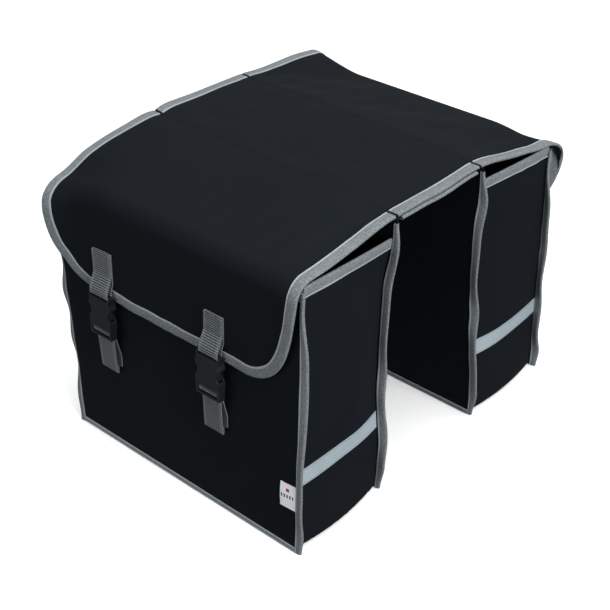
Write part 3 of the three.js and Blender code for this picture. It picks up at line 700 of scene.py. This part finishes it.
FIN_TAPE = FIN - 2 * MM  # width of the tape on the seam allowances
FOOT_LOW, FOOT_HIGH = 0.8 * MM, 7 * MM  # the tape along the foot of a panel
FOOT_OUT = FABRIC / 2 + 0.35 * MM
MOUTH_INSET = FABRIC / 2 + 1.8 * MM, FABRIC / 2 + 1.6 * MM  # of the gusset's mouth tapes from the panels
for side in SIDES:
    bag = f"{side}_bag"
    for wall, surface, top in (("outer", outer_panel, MOUTH), ("inner", inner_panel, INNER_TOP - 3 * MM)):
        face = partial(surface, side)
        foot = sheet_of(face, spaced(-HALF - 1.8 * MM, HALF + 1.8 * MM, CLOTH_STEP),
                        spaced(FOOT_LOW, FOOT_HIGH, 1.2 * MM), FOOT_OUT + TAPE / 2)
        rear_fin = folded(face, straight((FIN_END, FOOT_LOW), (FIN_END, top)), FABRIC, FIN_TAPE, 71, bag)
        front_fin = folded(face, straight((-FIN_END, top), (-FIN_END, FOOT_LOW)), FABRIC, FIN_TAPE, 72, bag)
        stitch_line(bag, face(spaced(-HALF, HALF, 2.5 * MM), FOOT_HIGH - 2 * MM, FOOT_OUT + TAPE))
        piece = skin(f"{side}_{wall}_tape", tape, TAPE, rear_fin, front_fin, foot)
        belongs(piece, bag, "tape", f"{side}_{wall}_binding")

    end_face, front_face = partial(gusset, side), partial(outer_panel, side)
    near, far = MOUTH_INSET[0], GUSSET_WIDTH - MOUTH_INSET[1]
    parts = [folded(face, straight(*line), FABRIC, TAPE_WIDTH, seed, bag) for face, line, seed in (
        (end_face, ((GUSSET_HALF, near), (GUSSET_HALF, far)), 73),
        (end_face, ((-GUSSET_HALF, far), (-GUSSET_HALF, near)), 74),
        (front_face, ((HALF, MOUTH), (-HALF, MOUTH)), 75),
    )]
    belongs(skin(f"{side}_mouth_tape", tape, TAPE, *parts), bag, "tape", f"{side}_mouth_binding")

    piece = skin(f"{side}_flap_tape", tape, TAPE,
                 folded(partial(flap, side), flap_edge, FLAP, TAPE_WIDTH, 76, f"{side}_flap"))
    bends(piece, bag, f"{side}_flap", "tape", side, SEAM_BEND, f"{side}_flap_binding")

for end, x in (("front", -HALF), ("rear", HALF)):
    line = straight((x, -YOKE_EDGE + 1.5 * MM), (x, YOKE_EDGE - 1.5 * MM))
    line = line if x > 0 else line[::-1]
    upper = folded(yoke, line, FABRIC, TAPE_WIDTH, 77, "yoke")
    lining_line = line * [1, 0.93] + [2.2 * MM * np.sign(x), 0]  # shorter, and a little proud
    lower = folded(lining_face, lining_line, FABRIC, TAPE_WIDTH, 78, "yoke")
    belongs(skin(f"yoke_{end}_tape", tape, TAPE, upper, lower), "yoke", "tape", f"yoke_{end}_binding")

# ----------------------------------------------------------------------------------------------------------
# Reflectors: silver glass-bead tape sewn across each end panel, with the faint grid of its beads' backing.

SILVER = 0.7 * MM  # thickness
SILVER_BOTTOM, SILVER_TOP = 83 * MM, 103 * MM
SILVER_INSET = FABRIC / 2 + 2.3 * MM  # from the panels
silver, silver_shader = finish_of("reflective_silver", 0.32, 0.5)
silver_shader.inputs["Metallic"].default_value = 0.25
flat = flat_pattern(silver_shader)[0]
cells = flat.node("ShaderNodeTexVoronoi", Vector=flat, Scale=520.0)
marks = flat.noise(55.0, 4.0)
feed(silver_shader, (cells * 0.5 + marks * 0.5).mix((0.27, 0.32, 0.36, 1), (0.38, 0.44, 0.48, 1)),
     0.28 + marks * 0.25, cells, 0.0001, 0.3)
for side, turn in SIDES.items():
    for end, sign in (("rear", turn), ("front", -turn)):
        heights = sign * np.linspace(up_the_end(SILVER_BOTTOM), up_the_end(SILVER_TOP), 9)
        grid = sheet_of(partial(gusset, side), heights, spaced(SILVER_INSET, GUSSET_WIDTH - SILVER_INSET, 4 * MM),
                        FABRIC / 2 + 0.55 * MM)
        belongs(skin(f"{side}_{end}_silver", silver, SILVER, grid), f"{side}_bag", "reflective",
                f"{side}_{end}_reflector")
        row = spaced(SILVER_INSET, GUSSET_WIDTH - SILVER_INSET, 3 * MM)
        for height in (SILVER_BOTTOM + 1.5 * MM, SILVER_TOP - 1.5 * MM):
            stitch_line(f"{side}_bag", gusset(side, sign * up_the_end(height), row, FABRIC / 2 + 0.9 * MM))

# ----------------------------------------------------------------------------------------------------------
# Side label: a folded white woven tag in the rear seam of the left bag, with plain bars in place of any
# print.

TAG_FABRIC = 0.3 * MM
TAG_THREAD = 0.0006
white, white_shader = finish_of("label_white", 0.7, 0.3)
flat, u, v = flat_pattern(white_shader)


def print_area(left, right, bottom, top):
    """1 inside a rectangle of the label, given in metres from its free lower corner."""
    blur = 0.0003
    wide = u.between(left, left + blur) * (1 - u.between(right, right + blur))
    return wide * (v.between(bottom, bottom + blur) * (1 - v.between(top, top + blur)))


bars = print_area(0.0035, 0.0185, 0.0125, 0.0168) * u.wave(0.0034).between(-0.15, 0.0)
patch = print_area(0.0085, 0.0125, 0.0205, 0.0245)
printed = patch.mix(bars.mix((0.72, 0.73, 0.76, 1), (0.03, 0.035, 0.06, 1)), (0.45, 0.02, 0.02, 1))
feed(white_shader, printed, None, weave(white_shader, TAG_THREAD)[1], 0.00008, 0.5)
label_seam = HALF + 1.5 * MM
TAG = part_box("left_label")
tag_end = label_seam - (TAG[1].x - TAG[0].x)
tag_path = np.array([(label_seam, 0.95), (tag_end + 0.5 * MM, 1.1), (tag_end, 1.5), (tag_end + 0.5 * MM, 1.9),
                     (label_seam, 1.75)])  # along the panel, and out from it in millimetres
tag_run = evened(tag_path * [1, MM], 0.5 * MM)
tag_z = spaced(TAG[0].z, TAG[1].z, 1.5 * MM)
tag_lift = 1.2 * MM + waves(tag_z, 0 * tag_z, 9, 0.04, 0.6 * MM)
tag_lift = smooth((label_seam - tag_run[:, 0]) / 0.02)[:, None] * tag_lift
tag = outer_panel("left", -np.repeat(tag_run[:, :1], len(tag_z), 1), tag_z[None, :], tag_run[:, 1:] + tag_lift)
tag_flat = np.stack(np.broadcast_arrays(runs_of(tag_run)[::-1][:, None], (tag_z - TAG[0].z)[None, :]), -1)
belongs(skin("left_side_tag", white, TAG_FABRIC, (tag, tag_flat)), "left_bag", "label", "left_label")

# ----------------------------------------------------------------------------------------------------------
# Webbing: 26 mm grey polyester webbing. The upper straps are sewn double to the flaps and loop round the
# sockets' bars; the lower ones are sewn to the outer panels, thread through the clips and end in a folded,
# sewn tail.

webbing, webbing_shader = finish_of("webbing", 0.8, 0.2, 0.08, 0.4)
flat, u, v = flat_pattern(webbing_shader)
zigzag = v.math("PINGPONG", 0.0016) * 0.35
rows = (u + zigzag).wave(0.0026) * 0.5 + 0.5
cords = v.wave(0.0019) * 0.5 + 0.5
fluff = flat.noise(700.0, 3.0, 0.7)
speck = flat.noise(430.0, 3.0, 0.8).between(0.4, 0.64)
# Painted highlight: the edge mask lightens the webbing's colour along both its edges.
shade = rows * 0.8 + cords * 0.1 + fluff * 0.05 + speck * 0.15 + painted_edge_highlight_of(webbing_shader) * 0.22 - 0.08
feed(webbing_shader, shade.mix((0.003, 0.004, 0.005, 1), (0.17, 0.19, 0.2, 1)), None, rows + cords * 0.5,
     0.0003, 0.8)
WEBBING = 1.3 * MM  # thickness
WEBBING_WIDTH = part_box("left_rear_upper_strap")[1].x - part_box("left_rear_upper_strap")[0].x


def rounded(corners, radius, steps=6):
    """A line with its corners rounded, at even small steps."""
    corners = np.array(corners)
    points = [corners[0]]
    for before, corner, after in zip(corners[:-2], corners[1:-1], corners[2:]):
        back, on = before - corner, after - corner
        reach = min(radius, np.linalg.norm(back) / 2, np.linalg.norm(on) / 2)
        first, last = corner + back / np.linalg.norm(back) * reach, corner + on / np.linalg.norm(on) * reach
        for t in np.linspace(0, 1, steps):
            points.append(first * (1 - t) ** 2 + 2 * corner * t * (1 - t) + last * t * t)
    points.append(corners[-1])
    return np.array(points)


def strap(name, side, middle, path):
    """Webbing along a path in a bag's own y and z, in millimetres."""
    line = evened(path * MM, 0.7 * MM)
    across = spaced(-WEBBING_WIDTH / 2, WEBBING_WIDTH / 2, 2 * MM)
    points = place(side, middle + across[None, :], line[:, :1], line[:, 1:])
    flat_strap = np.stack(np.broadcast_arrays(runs_of(line)[:, None], across[None, :]), -1)
    return skin(name, webbing, WEBBING, (points, flat_strap))


# All these are in millimetres, heights from the ground and the rest outwards from the seam of the bag.
PANEL_FACE = OUTER / MM + FABRIC / MM / 2
FLAP_FACE = PANEL_FACE + 5.4
SEWN = FLAP_FACE + 0.3 + 0.65  # the middle of the upper strap's inner layer, on the flap
SEWN_OVER = SEWN + 1.4  # and of its outer layer
CLEAR = SEWN + 1.2  # where it passes over the flap's tape
BUCKLE_MID = FLAP_FACE + 7.1
BUCKLE_MOUTH = 165  # height of the joint between socket and clip
SOCKET_BACK, SOCKET_FRONT, SOCKET_BAR = BUCKLE_MID - 2.95, BUCKLE_MID + 2.95, BUCKLE_MOUTH + 36.0
CLIP_BACK, CLIP_FRONT = BUCKLE_MID - 2.2, BUCKLE_MID + 2.2
CLIP_OVER, CLIP_UNDER = BUCKLE_MOUTH - 5.4 + 0.95, BUCKLE_MOUTH - 8.2 - 0.95  # of the bar that the strap threads
FOOT_SEWN, CLIP_END = 109, 154  # two heights on the lower strap
for name, middle in STRAPS.items():
    side = name.split("_")[0]
    tape_top = (FLAP_BOTTOM + FLAP_LENGTH - float(flap_end(abs(middle) + 15 * MM))) / MM + 15.4
    sewn_top = 252 if name == "left_front" else 246  # sewn on by hand, a little higher
    path = rounded([(SEWN, sewn_top), (SEWN, tape_top + 4), (CLEAR, tape_top + 1), (SOCKET_BACK, SOCKET_BAR + 5),
                    (SOCKET_BACK, SOCKET_BAR), (SOCKET_FRONT, SOCKET_BAR), (SOCKET_FRONT, SOCKET_BAR + 7),
                    (SEWN_OVER, tape_top + 12), (SEWN_OVER, sewn_top)], 2.4)
    belongs(strap(f"{name}_flap_webbing", side, middle, path), f"{side}_flap", "webbing", f"{name}_upper_strap")
    half, high, low = WEBBING_WIDTH / 2 - 3 * MM, (sewn_top - 2.5) * MM, (sewn_top - 22) * MM
    box = [(-half, high), (half, high), (half, low), (-half, low), (-half, high), (half, low)]
    for corners in (box, [(half, high), (-half, low)]):
        line = evened(corners, 1.5 * MM)
        stitch_line(f"{side}_flap", place(side, middle + line[:, 0], (SEWN_OVER + 0.65) * MM, line[:, 1]))

    foot, tail = PANEL_FACE + 0.95, CLIP_BACK - 4.0
    path = rounded([(foot, 111), (foot, 125), (CLIP_BACK - 3.2, 148), (CLIP_BACK - 2.3, CLIP_UNDER),
                    (CLIP_BACK - 0.2, CLIP_OVER), (CLIP_FRONT, CLIP_OVER), (CLIP_FRONT, CLIP_UNDER),
                    (CLIP_BACK, CLIP_UNDER - 0.4), (CLIP_BACK + 0.1, 150), (CLIP_BACK - 0.6, 140),
                    (CLIP_BACK - 1.4, 125), (CLIP_BACK - 2.4, 106.5), (tail, 106.2), (tail, 115)], 1.3)
    lower = strap(f"{name}_bag_webbing", side, middle, path)
    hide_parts(f"{name}_lower_strap")
    start, end = (place(side, middle, CLIP_BACK * MM, height * MM).tolist() for height in (FOOT_SEWN, CLIP_END))
    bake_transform(lower)

# ----------------------------------------------------------------------------------------------------------
# Buckles: side-release buckles moulded in black acetal, satin, with the small radii of a mould on every
# edge. The shapes are the frame's own, softened.

acetal, acetal_shader = finish_of("buckle_black", 0.33, 0.36)
object_place = add_node(acetal.node_tree, "ShaderNodeTexCoord", output="Object")
smudge = object_place.noise(45.0, 3.0)
feed(acetal_shader, smudge.mix((0.0065, 0.0068, 0.0075, 1), (0.011, 0.0115, 0.0125, 1)), 0.26 + smudge * 0.2,
     object_place.noise(900.0, 3.0), 0.00006, 0.35)


def applied(rough, name):
    """A new object with the mesh that another one's modifiers make of it. The other one goes."""
    mesh = bpy.data.meshes.new_from_object(rough.evaluated_get(bpy.context.evaluated_depsgraph_get()))
    bpy.data.objects.remove(rough)
    return add_object(name, mesh)


def moulded(node, name, width):
    """A CAD piece with its edges rounded."""
    mesh = bpy.data.objects[node].data.copy()
    mesh.transform(bpy.data.objects[node].matrix_world)
    shape = bmesh.new()
    shape.from_mesh(mesh)
    bmesh.ops.remove_doubles(shape, verts=shape.verts, dist=2e-6)
    bmesh.ops.dissolve_limit(shape, angle_limit=math.radians(2), verts=shape.verts, edges=shape.edges)
    shape.to_mesh(mesh)
    shape.free()
    mesh.materials.clear()
    mesh.materials.append(acetal)
    rough = add_object(name + "_rough", mesh)
    bevel = rough.modifiers.new("edges", "BEVEL")
    bevel.width, bevel.segments, bevel.limit_method = width, 3, "ANGLE"
    bevel.angle_limit, bevel.use_clamp_overlap, bevel.harden_normals = math.radians(28), True, True
    mesh.shade_smooth()
    mesh.set_sharp_from_angle(angle=math.radians(60))
    return applied(rough, name)


for name in STRAPS:
    side = name.split("_")[0]
    socket = moulded(f"{name}_socket", f"{name}_buckle_socket", 0.5 * MM)
    belongs(socket, f"{side}_flap", "buckle", f"{name}_socket")
    clip = moulded(f"{name}_clip", f"{name}_buckle_clip", 0.45 * MM)
    belongs(clip, f"{name}_clip", "buckle", f"{name}_clip")
    for arm in "ab":
        prong = moulded(f"{name}_prong_{arm}", f"{name}_buckle_prong_{arm}", 0.3 * MM)
        belongs(prong, f"{name}_prong_{arm}", "buckle", f"{name}_prong_{arm}")

# ----------------------------------------------------------------------------------------------------------
# Stitches: grey polyester thread in rows of lock stitches, 3 mm long. One small group of nodes lays them
# along every seam line of a body.

STITCH_PITCH, STITCH_LENGTH, THREAD_WIDTH = 3.0 * MM, 2.3 * MM, 0.28 * MM
thread, thread_shader = finish_of("thread", 0.6, 0.3, 0.1)
thread_shader.inputs["Base Color"].default_value = (0.075, 0.083, 0.087, 1)


def stitch_nodes(name):
    """The group of nodes that turns lines into rows of stitches."""
    tree = bpy.data.node_groups.new(name, "GeometryNodeTree")
    tree.interface.new_socket("Lines", in_out="INPUT", socket_type="NodeSocketGeometry")
    for label, value in (("Pitch", STITCH_PITCH), ("Length", STITCH_LENGTH), ("Thickness", THREAD_WIDTH)):
        tree.interface.new_socket(label, in_out="INPUT", socket_type="NodeSocketFloat").default_value = value
    tree.interface.new_socket("Thread", in_out="INPUT", socket_type="NodeSocketMaterial")
    tree.interface.new_socket("Stitches", in_out="OUTPUT", socket_type="NodeSocketGeometry")
    outputs = tree.nodes.new("NodeGroupInput").outputs

    def given(label):
        return Socket(outputs[label])

    curve = add_node(tree, "GeometryNodeMeshToCurve", Mesh=given("Lines"))
    even = add_node(tree, "GeometryNodeResampleCurve", {"mode": "LENGTH"}, Curve=curve, Length=given("Pitch"))
    bead = add_node(tree, "GeometryNodeMeshUVSphere", Segments=6, Rings=4)
    size = add_node(tree, "ShaderNodeCombineXYZ", X=given("Thickness"), Y=given("Thickness"),
                    Z=given("Length") * 0.5)
    heading = add_node(tree, "GeometryNodeInputTangent")
    turned = add_node(tree, "FunctionNodeAlignRotationToVector", {"axis": "Z"}, Vector=heading)
    rows = add_node(tree, "GeometryNodeInstanceOnPoints", Points=even, Instance=bead, Rotation=turned, Scale=size)
    real = add_node(tree, "GeometryNodeRealizeInstances", Geometry=rows)
    named = add_node(tree, "GeometryNodeSetMaterial", Geometry=real, Material=given("Thread"))
    smoothed = add_node(tree, "GeometryNodeSetShadeSmooth", Geometry=named)
    tree.links.new(smoothed.output, tree.nodes.new("NodeGroupOutput").inputs[0])
    return tree


def lay_stitches(name, lines):
    """A mesh of stitches along the given lines."""
    edges, count = [], 0
    for line in lines:
        edges += [(count + k, count + k + 1) for k in range(len(line) - 1)]
        count += len(line)
    mesh = bpy.data.meshes.new(name + "_lines")
    mesh.from_pydata(np.concatenate(lines).tolist(), edges, [])
    guide = add_object(name + "_lines", mesh)
    laid = guide.modifiers.new("stitches", "NODES")
    laid.node_group = stitch_nodes(name + "_rows")
    for item in laid.node_group.interface.items_tree:
        if item.in_out == "INPUT" and item.name == "Thread":
            laid[item.identifier] = thread
    return applied(guide, name)


for body, lines in seam_lines.items():
    stitches = lay_stitches(f"{body}_stitches", lines)
    if body.endswith("_flap"):
        side = body.split("_")[0]
        bends(stitches, f"{side}_bag", body, "tape", side, SEAM_BEND)
    else:
        belongs(stitches, body, "tape")
